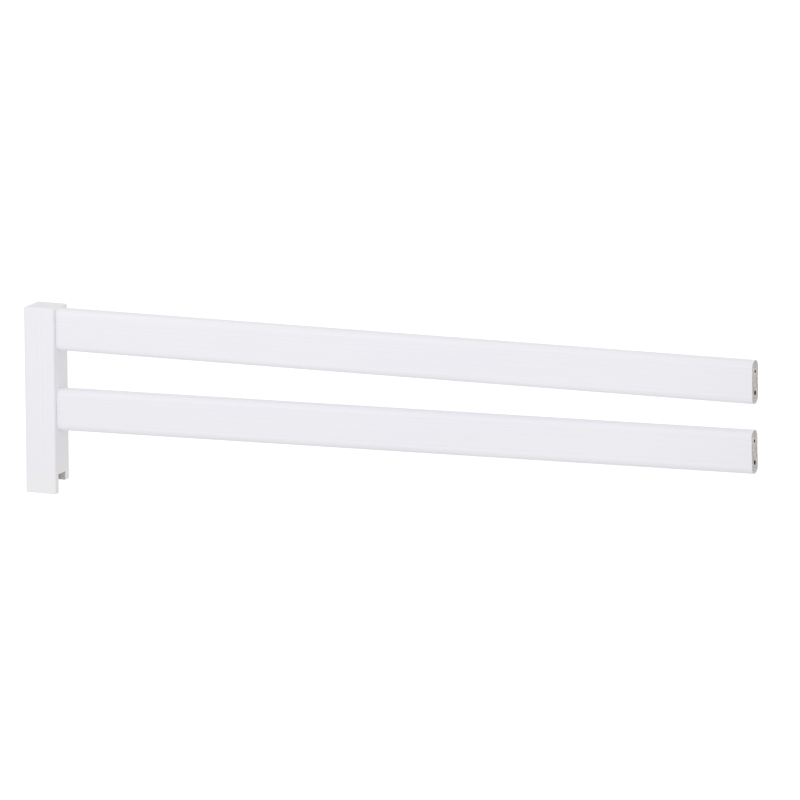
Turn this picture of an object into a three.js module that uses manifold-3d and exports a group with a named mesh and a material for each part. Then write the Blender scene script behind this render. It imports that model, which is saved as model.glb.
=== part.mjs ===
// Bed guard rail of painted softwood: a square post whose foot straddles the bed's side board, and two
// rails that run from the post to free ends bored for the bed's own dowel and screw.
// Millimetres, +Z up. +X runs along the rails and +Y away from the side that shows.
// The origin is the middle of the saddle's seat, where the post stands on the side board.

import * as THREE from 'three';
import { mergeVertices } from 'three/addons/utils/BufferGeometryUtils.js';
import Module from 'manifold-3d';

// Saddle in the foot of the post
const SIDE_BOARD_THICKNESS = 22;
const SADDLE_CLEARANCE = 1;
const FRONT_CHEEK_THICKNESS = 11;
const FRONT_CHEEK_LENGTH = 29;
const REAR_CHEEK_THICKNESS = 15;
const REAR_CHEEK_LENGTH = 13.5;
const CHEEK_FOOT_RADIUS = 1.5;

// Post
const POST_WIDTH = 50;
const POST_EDGE_RADIUS = 3;

// Rails
const RAIL_LENGTH = 1128.5;
const RAIL_HEIGHT = 65;
const RAIL_THICKNESS = 25;
const RAIL_EDGE_RADIUS = 10;
const RAIL_END_EASE = 1;
const RAIL_SETBACK = 7;
const LOWER_RAIL_ABOVE_SEAT = 68.5;
const RAIL_GAP = 59;
const UPPER_RAIL_BELOW_TOP = 1.5;
const LOWER_RAIL_RISE_DEGREES = 1;

// Dowels, screws and the bores that take them
const FIT_CLEARANCE = 0.3;
const BORE_PITCH = 32;
const BORE_END_CLEARANCE = 1;
const DOWEL_DIAMETER = 6;
const DOWEL_LENGTH = 40;
const DOWEL_CHAMFER = 0.8;
const DOWEL_FLUTE_DEPTH = 0.25;
const DOWEL_FLUTES = 16;
const FREE_DOWEL_BORE_DEPTH = 25;
const FREE_SCREW_BORE_DEPTH = 40;
const SCREW_DIAMETER = 4;
const SCREW_HEAD_DIAMETER = 8;
const SCREW_HEAD_RIM = 0.5;
const SCREW_HEAD_RECESS = 5;
const SCREW_REACH_IN_RAIL = 34.7;
const SCREW_TIP_LENGTH = 5;
const SCREW_TIP_DIAMETER = 1;
const SCREW_SOCKET_SPAN = 4;
const SCREW_SOCKET_WIDTH = 1;
const SCREW_SOCKET_DEPTH = 1.5;

// Cover caps
const CAP_FLANGE_OVERLAP = 2.2;
const CAP_RIM_THICKNESS = 0.6;
const CAP_DOME_HEIGHT = 1.4;
const CAP_ABOVE_SCREW = 1.5;

// Fineness of the round shapes, and the overrun of cuts past the face that they open
const ARC_STEPS = 8;
const ROUND_STEPS = 32;
const CUT_OVERRUN = 2;

// Places that follow from the sizes
const SADDLE_GAP = SIDE_BOARD_THICKNESS + 2 * SADDLE_CLEARANCE;
const POST_FRONT = -SADDLE_GAP / 2 - FRONT_CHEEK_THICKNESS;
const POST_BACK = SADDLE_GAP / 2 + REAR_CHEEK_THICKNESS;
const POST_BOTTOM = -FRONT_CHEEK_LENGTH;
const LOWER_JOINT_HEIGHT = LOWER_RAIL_ABOVE_SEAT + RAIL_HEIGHT / 2;
const UPPER_JOINT_HEIGHT = LOWER_JOINT_HEIGHT + RAIL_HEIGHT + RAIL_GAP;
const POST_TOP = UPPER_JOINT_HEIGHT + RAIL_HEIGHT / 2 + UPPER_RAIL_BELOW_TOP;
const JOINT_FACE = POST_WIDTH / 2;
const OUTER_FACE = -POST_WIDTH / 2;
const RAIL_FRONT = POST_FRONT + RAIL_SETBACK;
const RAIL_MIDDLE = RAIL_FRONT + RAIL_THICKNESS / 2;
const DOWEL_OFFSET = -BORE_PITCH / 2;
const SCREW_OFFSET = BORE_PITCH / 2;
const DOWEL_BORE_RADIUS = DOWEL_DIAMETER / 2 + FIT_CLEARANCE;
const SCREW_BORE_RADIUS = SCREW_DIAMETER / 2 + FIT_CLEARANCE;
const HEAD_BORE_RADIUS = SCREW_HEAD_DIAMETER / 2 + FIT_CLEARANCE;
const SCREW_HEAD_FACE = OUTER_FACE + SCREW_HEAD_RECESS;
const SCREW_CONE_LENGTH = (SCREW_HEAD_DIAMETER - SCREW_DIAMETER) / 2;
const SCREW_TIP_END = JOINT_FACE + FIT_CLEARANCE + SCREW_REACH_IN_RAIL;

const AXIS_X = new THREE.Vector3(1, 0, 0);
const AXIS_Y = new THREE.Vector3(0, 1, 0);
const AXIS_Z = new THREE.Vector3(0, 0, 1);

const wasm = await Module();
wasm.setup();

// A closed geometry as a solid for cutting and joining
function toSolid(geometry) {
  const bare = geometry.clone();
  bare.deleteAttribute('normal');
  bare.deleteAttribute('uv');
  const merged = mergeVertices(bare);
  const corners = merged.index.array;
  const kept = [];
  for (let i = 0; i < corners.length; i += 3) {
    const [a, b, c] = [corners[i], corners[i + 1], corners[i + 2]];
    if (a !== b && b !== c && c !== a) {
      kept.push(a, b, c);
    }
  }
  return new wasm.Manifold(new wasm.Mesh({
    numProp: 3,
    vertProperties: new Float32Array(merged.attributes.position.array),
    triVerts: new Uint32Array(kept),
  }));
}

// The solid back as a geometry with flat faces
function toGeometry(solid) {
  const mesh = solid.getMesh();
  const geometry = new THREE.BufferGeometry();
  geometry.setAttribute('position', new THREE.BufferAttribute(mesh.vertProperties, 3));
  geometry.setIndex(new THREE.BufferAttribute(mesh.triVerts, 1));
  const flat = geometry.toNonIndexed();
  flat.computeVertexNormals();
  return flat;
}

// An outline whose four corners have their own radii, in the order left low, right low, right high, left high
function roundedOutline(left, low, right, high, radii) {
  const widest = Math.min(right - left, high - low) / 2;
  const [a, b, c, d] = radii.map((radius) => Math.min(radius, widest));
  const shape = new THREE.Shape();
  shape.moveTo(left + a, low);
  addCorner(shape, right - b, low + b, b, -Math.PI / 2);
  addCorner(shape, right - c, high - c, c, 0);
  addCorner(shape, left + d, high - d, d, Math.PI / 2);
  addCorner(shape, left + a, low + a, a, Math.PI);
  return shape;
}

// A quarter round about its centre, or the bare corner where the radius is zero
function addCorner(shape, x, y, radius, startAngle) {
  if (radius > 0) {
    shape.absarc(x, y, radius, startAngle, startAngle + Math.PI / 2, false);
  } else {
    shape.lineTo(x, y);
  }
}

function extrude(shape, length) {
  return new THREE.ExtrudeGeometry(shape, { depth: length, bevelEnabled: false, curveSegments: ARC_STEPS });
}

// Prisms along the three axes, from an outline in the other two
function prismAlongX(shape, start, end) {
  const geometry = extrude(shape, end - start);
  geometry.applyMatrix4(new THREE.Matrix4().makeBasis(AXIS_Y, AXIS_Z, AXIS_X));
  geometry.translate(start, 0, 0);
  return toSolid(geometry);
}

function prismAlongY(shape, start, end) {
  const geometry = extrude(shape, end - start);
  geometry.applyMatrix4(new THREE.Matrix4().makeBasis(AXIS_X, AXIS_Z, AXIS_Y.clone().negate()));
  geometry.translate(0, end, 0);
  return toSolid(geometry);
}

function prismAlongZ(shape, start, end) {
  const geometry = extrude(shape, end - start);
  geometry.translate(0, 0, start);
  return toSolid(geometry);
}

// A solid turned about the X axis from [place along X, radius] pairs that start and end on the axis
function turnedAlongX(profile) {
  const points = profile.map(([along, radius]) => new THREE.Vector2(radius, along));
  const geometry = new THREE.LatheGeometry(points, ROUND_STEPS);
  geometry.rotateZ(-Math.PI / 2);
  return toSolid(geometry);
}

function cylinderAlongX(start, end, radius) {
  return turnedAlongX([[start, 0], [start, radius], [end, radius], [end, 0]]);
}

// Moves a piece made on the X axis to the axis of a joint's dowel or screw
function atBore(solid, jointHeight, offset) {
  return solid.translate([0, RAIL_MIDDLE, jointHeight + offset]);
}

// The side outline of the post, with the saddle that straddles the side board
function postSideOutline() {
  const radius = Math.min(CHEEK_FOOT_RADIUS, FRONT_CHEEK_THICKNESS / 2, REAR_CHEEK_THICKNESS / 2);
  const frontInner = -SADDLE_GAP / 2;
  const rearInner = SADDLE_GAP / 2;
  const rearFoot = -REAR_CHEEK_LENGTH;
  const shape = new THREE.Shape();
  shape.moveTo(POST_FRONT + radius, POST_BOTTOM);
  addCorner(shape, frontInner - radius, POST_BOTTOM + radius, radius, -Math.PI / 2);
  shape.lineTo(frontInner, 0);
  shape.lineTo(rearInner, 0);
  shape.lineTo(rearInner, rearFoot + radius);
  shape.absarc(rearInner + radius, rearFoot + radius, radius, Math.PI, Math.PI * 1.5, false);
  addCorner(shape, POST_BACK - radius, rearFoot + radius, radius, -Math.PI / 2);
  addCorner(shape, POST_BACK - POST_EDGE_RADIUS, POST_TOP - POST_EDGE_RADIUS, POST_EDGE_RADIUS, 0);
  addCorner(shape, POST_FRONT + POST_EDGE_RADIUS, POST_TOP - POST_EDGE_RADIUS, POST_EDGE_RADIUS, Math.PI / 2);
  addCorner(shape, POST_FRONT + radius, POST_BOTTOM + radius, radius, Math.PI);
  return shape;
}

// The stepped hole of one screw: counterbore for cap and head, cone under the head, bore for the shank
function screwHole() {
  const coneEnd = SCREW_HEAD_FACE + SCREW_HEAD_RIM + SCREW_CONE_LENGTH;
  return turnedAlongX([
    [OUTER_FACE - CUT_OVERRUN, 0],
    [OUTER_FACE - CUT_OVERRUN, HEAD_BORE_RADIUS],
    [SCREW_HEAD_FACE + SCREW_HEAD_RIM, HEAD_BORE_RADIUS],
    [coneEnd, SCREW_BORE_RADIUS],
    [JOINT_FACE + CUT_OVERRUN, SCREW_BORE_RADIUS],
    [JOINT_FACE + CUT_OVERRUN, 0],
  ]);
}

function postSolid() {
  const edge = POST_EDGE_RADIUS;
  const foot = CHEEK_FOOT_RADIUS;
  const plan = roundedOutline(OUTER_FACE, POST_FRONT, JOINT_FACE, POST_BACK, [edge, edge, edge, edge]);
  const front = roundedOutline(OUTER_FACE, POST_BOTTOM, JOINT_FACE, POST_TOP, [foot, foot, edge, edge]);
  let post = prismAlongX(postSideOutline(), OUTER_FACE, JOINT_FACE)
    .intersect(prismAlongZ(plan, POST_BOTTOM, POST_TOP))
    .intersect(prismAlongY(front, POST_FRONT, POST_BACK));
  const dowelBore = cylinderAlongX(
    JOINT_FACE - DOWEL_LENGTH / 2 - BORE_END_CLEARANCE,
    JOINT_FACE + CUT_OVERRUN,
    DOWEL_BORE_RADIUS,
  );
  for (const jointHeight of [LOWER_JOINT_HEIGHT, UPPER_JOINT_HEIGHT]) {
    post = post
      .subtract(atBore(dowelBore, jointHeight, DOWEL_OFFSET))
      .subtract(atBore(screwHole(), jointHeight, SCREW_OFFSET));
  }
  return post;
}

// The two bores in a rail's free end, along the rail from its start at the joint
function freeEndBores() {
  const end = RAIL_LENGTH + CUT_OVERRUN;
  const dowelBore = cylinderAlongX(RAIL_LENGTH - FREE_DOWEL_BORE_DEPTH, end, DOWEL_BORE_RADIUS);
  const screwBore = cylinderAlongX(RAIL_LENGTH - FREE_SCREW_BORE_DEPTH, end, SCREW_BORE_RADIUS);
  return dowelBore.translate([0, 0, DOWEL_OFFSET]).add(screwBore.translate([0, 0, SCREW_OFFSET]));
}

// A rail that rises from its joint, with its free end square to itself and its post end upright and eased
function railSolid(jointHeight, riseDegrees) {
  const halfThickness = RAIL_THICKNESS / 2;
  const halfHeight = RAIL_HEIGHT / 2;
  const edge = RAIL_EDGE_RADIUS;
  const ease = Math.min(RAIL_END_EASE, halfThickness);
  const section = roundedOutline(-halfThickness, -halfHeight, halfThickness, halfHeight, [edge, edge, edge, edge]);
  const start = JOINT_FACE + FIT_CLEARANCE;
  const reach = RAIL_LENGTH + RAIL_HEIGHT;
  const plan = roundedOutline(start, RAIL_FRONT, start + reach, RAIL_FRONT + RAIL_THICKNESS, [ease, 0, 0, ease]);
  const dowelBoreEnd = JOINT_FACE + DOWEL_LENGTH / 2 + FIT_CLEARANCE + BORE_END_CLEARANCE;
  const dowelBore = cylinderAlongX(JOINT_FACE, dowelBoreEnd, DOWEL_BORE_RADIUS);
  const screwBore = cylinderAlongX(JOINT_FACE, SCREW_TIP_END + BORE_END_CLEARANCE, SCREW_BORE_RADIUS);
  return prismAlongX(section, -halfHeight, RAIL_LENGTH)
    .subtract(freeEndBores())
    .rotate([0, -riseDegrees, 0])
    .translate([JOINT_FACE, RAIL_MIDDLE, jointHeight])
    .intersect(prismAlongZ(plan, jointHeight - reach, jointHeight + reach))
    .subtract(atBore(dowelBore, jointHeight, DOWEL_OFFSET))
    .subtract(atBore(screwBore, jointHeight, SCREW_OFFSET));
}

// A fluted dowel with chamfered ends, half in the post and half in the rail
function dowelSolid(jointHeight) {
  const radius = DOWEL_DIAMETER / 2;
  const middle = JOINT_FACE + FIT_CLEARANCE / 2;
  const start = middle - DOWEL_LENGTH / 2;
  const end = middle + DOWEL_LENGTH / 2;
  const flutes = new THREE.Shape();
  for (let i = 0; i < 2 * DOWEL_FLUTES; i += 1) {
    const angle = (Math.PI * i) / DOWEL_FLUTES;
    const reach = i % 2 === 0 ? radius : radius - DOWEL_FLUTE_DEPTH;
    const [y, z] = [reach * Math.cos(angle), reach * Math.sin(angle)];
    if (i === 0) {
      flutes.moveTo(y, z);
    } else {
      flutes.lineTo(y, z);
    }
  }
  const outside = radius + DOWEL_FLUTE_DEPTH;
  const envelope = turnedAlongX([
    [start, 0],
    [start, outside - DOWEL_CHAMFER],
    [start + DOWEL_CHAMFER, outside],
    [end - DOWEL_CHAMFER, outside],
    [end, outside - DOWEL_CHAMFER],
    [end, 0],
  ]);
  return atBore(prismAlongX(flutes, start, end).intersect(envelope), jointHeight, DOWEL_OFFSET);
}

// A countersunk screw with a cross socket, its head under the cap and its point in the rail
function screwSolid(jointHeight) {
  const shank = SCREW_DIAMETER / 2;
  const rimEnd = SCREW_HEAD_FACE + SCREW_HEAD_RIM;
  const body = turnedAlongX([
    [SCREW_HEAD_FACE, 0],
    [SCREW_HEAD_FACE, SCREW_HEAD_DIAMETER / 2],
    [rimEnd, SCREW_HEAD_DIAMETER / 2],
    [rimEnd + SCREW_CONE_LENGTH, shank],
    [SCREW_TIP_END - SCREW_TIP_LENGTH, shank],
    [SCREW_TIP_END, SCREW_TIP_DIAMETER / 2],
    [SCREW_TIP_END, 0],
  ]);
  const halfSpan = SCREW_SOCKET_SPAN / 2;
  const halfWidth = SCREW_SOCKET_WIDTH / 2;
  const upright = roundedOutline(-halfWidth, -halfSpan, halfWidth, halfSpan, [0, 0, 0, 0]);
  const level = roundedOutline(-halfSpan, -halfWidth, halfSpan, halfWidth, [0, 0, 0, 0]);
  const socketStart = SCREW_HEAD_FACE - CUT_OVERRUN;
  const socketEnd = SCREW_HEAD_FACE + SCREW_SOCKET_DEPTH;
  const socket = prismAlongX(upright, socketStart, socketEnd).add(prismAlongX(level, socketStart, socketEnd));
  return atBore(body.subtract(socket), jointHeight, SCREW_OFFSET);
}

// A push-in cap: a barrel in the counterbore and a low domed flange on the face of the post
function capSolid(jointHeight) {
  const flange = HEAD_BORE_RADIUS + CAP_FLANGE_OVERLAP;
  const seat = OUTER_FACE - FIT_CLEARANCE;
  const rim = seat - CAP_RIM_THICKNESS;
  const dome = [];
  for (let i = 0; i <= ARC_STEPS; i += 1) {
    const angle = (Math.PI / 2) * (i / ARC_STEPS);
    dome.push([rim - CAP_DOME_HEIGHT * Math.cos(angle), flange * Math.sin(angle)]);
  }
  const barrel = HEAD_BORE_RADIUS - FIT_CLEARANCE;
  const barrelEnd = SCREW_HEAD_FACE - CAP_ABOVE_SCREW;
  const cap = turnedAlongX([...dome, [seat, flange], [seat, barrel], [barrelEnd, barrel], [barrelEnd, 0]]);
  return atBore(cap, jointHeight, SCREW_OFFSET);
}

const paintedWood = { color: 0xefeef2, roughness: 0.42, metalness: 0 };
const beech = { color: 0xd8b98c, roughness: 0.7, metalness: 0 };
const zincedSteel = { color: 0xb9bcc0, roughness: 0.35, metalness: 1 };
const whitePlastic = { color: 0xf2f1f0, roughness: 0.4, metalness: 0 };

function named(name, solid, finish) {
  const mesh = new THREE.Mesh(toGeometry(solid), new THREE.MeshStandardMaterial(finish));
  mesh.name = name;
  return mesh;
}

// One rail with the dowel, screw and cap that hold it to the post
function railGroup(level, jointHeight, riseDegrees) {
  const group = new THREE.Group();
  group.add(named(`${level}_rail`, railSolid(jointHeight, riseDegrees), paintedWood));
  group.add(named(`${level}_dowel`, dowelSolid(jointHeight), beech));
  group.add(named(`${level}_screw`, screwSolid(jointHeight), zincedSteel));
  group.add(named(`${level}_cap`, capSolid(jointHeight), whitePlastic));
  return group;
}

const guardRail = new THREE.Group();
guardRail.add(named('post', postSolid(), paintedWood));
guardRail.add(railGroup('upper', UPPER_JOINT_HEIGHT, 0));
guardRail.add(railGroup('lower', LOWER_JOINT_HEIGHT, LOWER_RAIL_RISE_DEGREES));

export default guardRail;
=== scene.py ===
"""Looks for a bed guard rail: a square post with a saddle foot and two rails, in white lacquered softwood.

The post, the rails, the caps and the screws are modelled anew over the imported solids, with their eased edges,
bores, cut faces, rings and thread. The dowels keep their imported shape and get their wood. Sizes are in
millimetres, and each piece turns to metres when it is finished. X runs along the rails to their free ends,
Y away from the side that the photo shows, and Z up.
"""

from __future__ import annotations

import logging
import math
from collections.abc import Iterable, Sequence
from dataclasses import dataclass, replace
from enum import Enum
from typing import Any

import bmesh
import bpy
from bmesh.types import BMEdge, BMFace, BMVert
from bpy.types import Material, NodeOutputs, NodeSocket, NodeTree
from mathutils import Matrix, Vector

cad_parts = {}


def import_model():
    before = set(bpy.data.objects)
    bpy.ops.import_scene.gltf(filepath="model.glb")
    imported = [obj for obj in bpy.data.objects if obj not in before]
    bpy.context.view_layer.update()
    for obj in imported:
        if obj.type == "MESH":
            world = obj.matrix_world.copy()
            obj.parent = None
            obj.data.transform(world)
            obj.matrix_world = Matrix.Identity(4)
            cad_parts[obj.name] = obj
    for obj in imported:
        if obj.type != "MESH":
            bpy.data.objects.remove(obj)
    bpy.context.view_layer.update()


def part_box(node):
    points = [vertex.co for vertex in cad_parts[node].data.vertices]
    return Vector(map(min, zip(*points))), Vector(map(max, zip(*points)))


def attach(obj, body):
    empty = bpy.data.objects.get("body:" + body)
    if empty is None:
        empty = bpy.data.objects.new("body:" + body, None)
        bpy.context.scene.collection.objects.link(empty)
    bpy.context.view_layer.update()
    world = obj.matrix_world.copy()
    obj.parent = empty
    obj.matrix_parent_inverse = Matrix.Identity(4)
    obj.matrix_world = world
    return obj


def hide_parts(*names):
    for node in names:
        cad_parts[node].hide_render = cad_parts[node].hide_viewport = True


log = logging.getLogger("guard_rail")

MM = 0.001
BODY = "root"
IMAGE_PIXELS = 800
SENSOR_MM = 36.0
WHITE = "#FFFFFF"
BORE_SIDES = 48

# Places no further apart than NEAR count as one, vertices nearer than WELD are merged, and a cut takes
# what lies within ON_PLANE of it as on it
NEAR = 0.01
WELD = 0.0005
ON_PLANE = 0.0001

# A face is square to the X axis when this much of its normal runs along the axis
SQUARE = 0.999

# Faces that meet at more than this angle keep a crisp line between them
CRISP_ANGLE = math.radians(32.0)

# What every spin turns about
ABOUT_X = {"cent": (0.0, 0.0, 0.0), "axis": (1.0, 0.0, 0.0)}

# The heights of a noise, which hovers about a half, between which it is spread out
NOISE_SPREAD = (0.3, 0.7)

# How many bands the wave texture has in a unit at a scale of one
WAVE_BANDS = 20.0 / math.tau

# Values of a node's first sockets in order, or of any of its sockets by name or number
Inputs = Sequence[Any] | dict[str | int, Any]


class Slot(Enum):
    """The record's material slots, which each piece holds by name."""

    PAINTED_WOOD = "painted_wood"
    ZINC_PLATED_STEEL = "zinc_plated_steel"
    WHITE_PLASTIC = "white_plastic"


class Surface(Enum):
    """The surfaces of a piece of timber, by the number of their material slot on it."""

    LACQUERED = 0
    SAWN = 1
    BORED = 2


class Level(Enum):
    """The two rails, each with the dowel, screw and cap of its joint."""

    UPPER = "upper"
    LOWER = "lower"


# Colours and nodes


def linear(colour: str) -> tuple[float, float, float, float]:
    """Turns an sRGB colour to the linear values that the shaders take.

    Args:
        colour: The colour as a hex string such as "#F2F1F5".

    Returns:
        Linear red, green, blue and an alpha of one.
    """
    channels = [int(colour[i : i + 2], 16) / 255.0 for i in (1, 3, 5)]
    red, green, blue = (c / 12.92 if c <= 0.04045 else ((c + 0.055) / 1.055) ** 2.4 for c in channels)
    return (red, green, blue, 1.0)


@dataclass(frozen=True, kw_only=True)
class Recipe:
    """A node tree in the making and, for a finish, its piece's own coordinates in millimetres."""

    tree: NodeTree | None = None
    own: NodeSocket | None = None

    def add(self, kind: str, inputs: Inputs = (), **settings: Any) -> NodeOutputs:
        """Adds a node with its settings, socket values and links.

        Args:
            kind: The node's type, without the words that all types start with.
            inputs: Values of the node's sockets. A socket as a value is linked.
            **settings: The node's own properties.

        Returns:
            The node's outputs.
        """
        node = self.tree.nodes.new(f"ShaderNode{kind}")
        for name, value in settings.items():
            setattr(node, name, value)
        for key, value in inputs.items() if isinstance(inputs, dict) else enumerate(inputs):
            socket = node.inputs[key]
            if isinstance(value, NodeSocket):
                self.tree.links.new(value, socket)
            else:
                socket.default_value = value
        return node.outputs

    def streaks(self, size: tuple[float, float], detail: float = 3.0, roughness: float = 0.5) -> NodeSocket:
        """Adds cloudy streaks along the piece.

        Args:
            size: A streak's length and width in millimetres.
            detail: How many finer layers lie over the first.
            roughness: How strong those layers are.

        Returns:
            The socket of the streaks, from 0 to 1.
        """
        length, width = size
        drawn = self.add("Mapping", {"Vector": self.own, "Scale": (1 / length, 1 / width, 1 / width)})[0]
        noise = {"Vector": drawn, "Scale": 1.0, "Detail": detail, "Roughness": roughness}
        return self.add("TexNoise", noise)[0]


@dataclass(frozen=True)
class Place:
    """Where a piece lies: the start of its middle line in millimetres and its rise from level in degrees."""

    start: Vector
    rise: float = 0.0

    def matrix(self) -> Matrix:
        """Gives the way from the piece's own X axis to its place in the part, in millimetres."""
        return Matrix.Translation(self.start) @ Matrix.Rotation(math.radians(-self.rise), 4, "Y")

    def coordinates(self, recipe: Recipe) -> NodeSocket:
        """Adds the piece's own coordinates in millimetres, with X along its length.

        Args:
            recipe: The material in the making.

        Returns:
            The socket of the coordinates.
        """
        part = recipe.add("TexCoord")["Object"]
        turned = [part, self.start * MM, (0.0, math.radians(-self.rise), 0.0)]
        metres = recipe.add("Mapping", turned, vector_type="TEXTURE")[0]
        return recipe.add("Mapping", {"Vector": metres, "Scale": (1 / MM,) * 3})[0]


class Finish(Recipe):
    """A finish, which is mixed anew for each piece."""

    title: str
    colour: str

    def material(self, place: Place | None = None, piece: str = "") -> Material:
        """Makes the finish's material for one piece.

        Args:
            place: Where the piece lies, for a finish with a pattern.
            piece: The piece's name, for a finish that differs between pieces.

        Returns:
            The material.
        """
        material = bpy.data.materials.new(f"{self.title}, {piece}" if piece else self.title)
        material.use_nodes = True
        material.diffuse_color = linear(self.colour)
        material.node_tree.nodes.clear()
        begun = replace(self, tree=material.node_tree)
        if place is not None:
            begun = replace(begun, own=place.coordinates(begun))
        begun.mix()
        return material

    def mix(self) -> None:
        """Adds the nodes, which each finish does in its own way."""
        raise NotImplementedError

    def close(
        self,
        coats: Iterable[tuple[NodeSocket, str]],
        relief: tuple[NodeSocket, float] | None = None,
        **inputs: Any,
    ) -> None:
        """Lays coats over the finish's own colour, raises its relief and ends with its shader.

        Args:
            coats: How much each coat covers and its sRGB hex colour, from the lowest up.
            relief: The surface's height, and the millimetres that a height of one stands for.
            **inputs: Values and links of the shader's other sockets.
        """
        base = linear(self.colour)
        for share, coat in coats:
            base = self.add("Mix", {0: share, 6: base, 7: linear(coat)}, data_type="RGBA")[2]
        if relief is not None:
            height, depth = relief
            inputs["Normal"] = self.add("Bump", {"Height": height, "Distance": depth * MM})[0]
        shader = self.add("BsdfPrincipled", {"Base Color": base, **inputs})[0]
        self.add("OutputMaterial", {"Surface": shader})


# Timber and what covers it


@dataclass(frozen=True)
class Bore:
    """A bore: its radius and depth, and how wide a painted shade rings its mouth where that shows."""

    radius: float
    depth: float = 0.0
    mouth_shade: float = 0.0


@dataclass(frozen=True)
class Softwood:
    """Planed softwood: how its growth rings run through a piece."""

    ring_spacing: float = 2.8
    pith: tuple[float, float] = (21.0, -58.0)
    lean: float = 0.5
    wander: float = 7.0
    wander_size: tuple[float, float] = (480.0, 40.0)

    def rings(self, recipe: Recipe) -> NodeSocket:
        """Adds growth rings of uneven width about the pith, from 0 in early wood to 1 in late wood.

        Args:
            recipe: The material in the making.

        Returns:
            The socket of the rings.
        """
        y, z = self.pith
        lean = math.radians(self.lean)
        about_pith = recipe.add("Mapping", [recipe.own, (0.0, -y, -z), (0.0, lean, lean)])[0]
        flat = recipe.add("VectorMath", [about_pith, (0.0, 1.0, 1.0)], operation="MULTIPLY")[0]
        radius = recipe.add("VectorMath", [flat], operation="LENGTH")["Value"]
        bend = recipe.streaks(self.wander_size, detail=2.0)
        reach = recipe.add("Math", [bend, self.wander, radius], operation="MULTIPLY_ADD")[0]
        growth = {"W": reach, "Scale": 1 / self.ring_spacing, "Detail": 1.0}
        years = recipe.add("TexNoise", growth, noise_dimensions="1D")[0]
        return recipe.add("MapRange", [years, *NOISE_SPREAD], interpolation_type="SMOOTHSTEP")[0]


@dataclass(frozen=True)
class Groove:
    """A groove across a piece, in the piece's own millimetres, open past the piece's start."""

    floor: float
    middle: float
    half_width: float
    # Further than any piece reaches
    beyond: float = 1000.0

    def distance(self, recipe: Recipe) -> NodeSocket:
        """Adds how far each point is from the groove.

        Args:
            recipe: The material in the making.

        Returns:
            The socket of the distance in millimetres.
        """
        about = recipe.add("Mapping", [recipe.own, (self.beyond - self.floor, -self.middle, 0.0)])[0]
        folded = recipe.add("VectorMath", [about], operation="ABSOLUTE")[0]
        half = (self.beyond, self.half_width, self.beyond)
        past = recipe.add("VectorMath", [folded, half], operation="SUBTRACT")[0]
        clear = recipe.add("VectorMath", [past, (0.0, 0.0, 0.0)], operation="MAXIMUM")[0]
        return recipe.add("VectorMath", [clear], operation="LENGTH")["Value"]


@dataclass(frozen=True)
class SatinLacquer(Finish):
    """White satin lacquer, sprayed on planed softwood.

    To the eye it is an even, cool white with a soft sheen. The late wood stands up under it as the faintest
    ridges along the piece, and the spray leaves a fine orange peel. The coat is thin and warm by a sawn groove.
    At the post's top it is greyer, partly because the end grain drinks it and partly as painted shade of the
    top face.
    """

    title = "satin lacquer on softwood"
    wood: Softwood
    groove: Groove | None = None
    # How far along the piece its lacquered end grain lies
    top: float | None = None
    colour: str = "#F2F1F6"
    shaded_colour: str = "#EEEDF3"
    thin_colour: str = "#F3F0EE"
    thin_width: float = 18.0
    thin_streaks: tuple[float, float] = (0.3, 0.6)
    thin_least: float = 0.75
    # Greyer at the top: partly the end grain's own tone, partly painted shade of the top face
    top_grain_and_shade_colour: str = "#EFEEF0"
    top_grain_and_shade_depth: tuple[float, float] = (1.5, 0.1)
    roughness: tuple[float, float] = (0.38, 0.5)
    ring_relief: float = 0.014
    # Fibres are about 0.3 mm wide, drawn at 1.5 mm so that they show at the render's 1.6 mm to a pixel
    fibre_size: tuple[float, float] = (90.0, 1.5)
    fibre_relief: float = 0.012
    # Orange peel is about 1 mm from crest to crest, drawn at 2.4 mm for the same reason
    peel_size: float = 2.4
    peel_relief: float = 0.006
    cloud_size: tuple[float, float] = (400.0, 120.0)
    cloud_edges: tuple[float, float] = (0.35, 0.65)
    cloud_share: float = 0.55

    def mix(self) -> None:
        """Mixes the lacquer."""
        rings = self.wood.rings(self)
        fibres = self.streaks(self.fibre_size, roughness=0.6)
        peel = self.add("TexNoise", {"Vector": self.own, "Scale": 1 / self.peel_size, "Detail": 1.0})[0]
        relief: NodeSocket | float = 0.0
        heights = ((rings, self.ring_relief), (fibres, self.fibre_relief), (peel, self.peel_relief))
        for height, depth in heights:
            relief = self.add("Math", [height, depth, relief], operation="MULTIPLY_ADD")[0]
        patches = self.add("MapRange", [self.streaks(self.cloud_size), *self.cloud_edges])[0]
        grain = self.add("Math", [rings, fibres], operation="MULTIPLY")[0]
        shade = self.add("Math", [patches, self.cloud_share, grain], operation="MULTIPLY_ADD")[0]
        coats = [(shade, self.shaded_colour)]
        if self.groove is not None:
            near = [self.groove.distance(self), 0.0, self.thin_width, 1.0, 0.0]
            thin = self.add("MapRange", near, interpolation_type="SMOOTHSTEP")[0]
            streaky = self.add("MapRange", [fibres, *self.thin_streaks, self.thin_least])[0]
            patchy = self.add("Math", [thin, streaky], operation="MULTIPLY")[0]
            coats.append((patchy, self.thin_colour))
        # Greys the top end, partly as its end grain's own tone and partly as painted shade of the top face
        if self.top is not None:
            along = self.add("SeparateXYZ", [self.own])["X"]
            rise = [along, *(self.top - depth for depth in self.top_grain_and_shade_depth)]
            end = self.add("MapRange", rise, interpolation_type="SMOOTHSTEP")[0]
            coats.append((end, self.top_grain_and_shade_colour))
        roughness = self.add("MapRange", [fibres, *NOISE_SPREAD, *self.roughness])[0]
        self.close(coats, (relief, 1.0), Roughness=roughness, IOR=1.5)


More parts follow.
